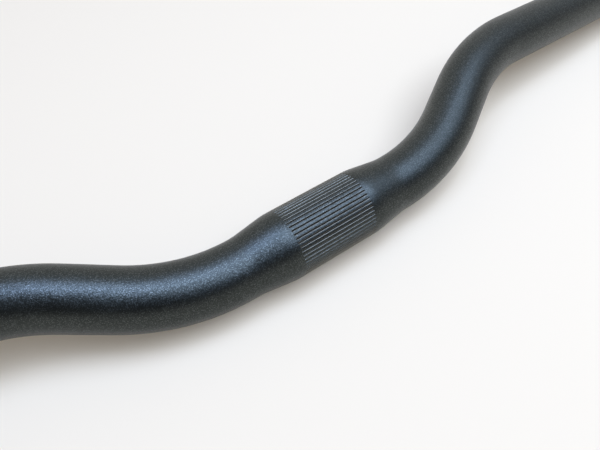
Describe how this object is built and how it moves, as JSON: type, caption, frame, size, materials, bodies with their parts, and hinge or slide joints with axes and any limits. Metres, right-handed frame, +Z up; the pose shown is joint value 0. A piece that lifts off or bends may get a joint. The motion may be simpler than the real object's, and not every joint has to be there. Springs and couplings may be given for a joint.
{
  "type": "riser handlebar",
  "caption": "Bicycle riser handlebar: a bent aluminium tube, swaged and knurled where the stem clamps it, rising to slightly swept grips with plain open ends.",
  "frame": {"origin": "middle of the stem clamp, on the bar's centre line", "axes": "+X along the clamp towards the right arm, +Y towards the side that the bar rises to, +Z up from the floor that it lies on"},
  "size_m": [0.602, 0.0637, 0.0351],
  "materials": {
    "anodised_tube": "bead blasted, black anodised"
  },
  "bodies": {
    "root": {"handlebar": "anodised_tube"}
  },
  "joints": []
}
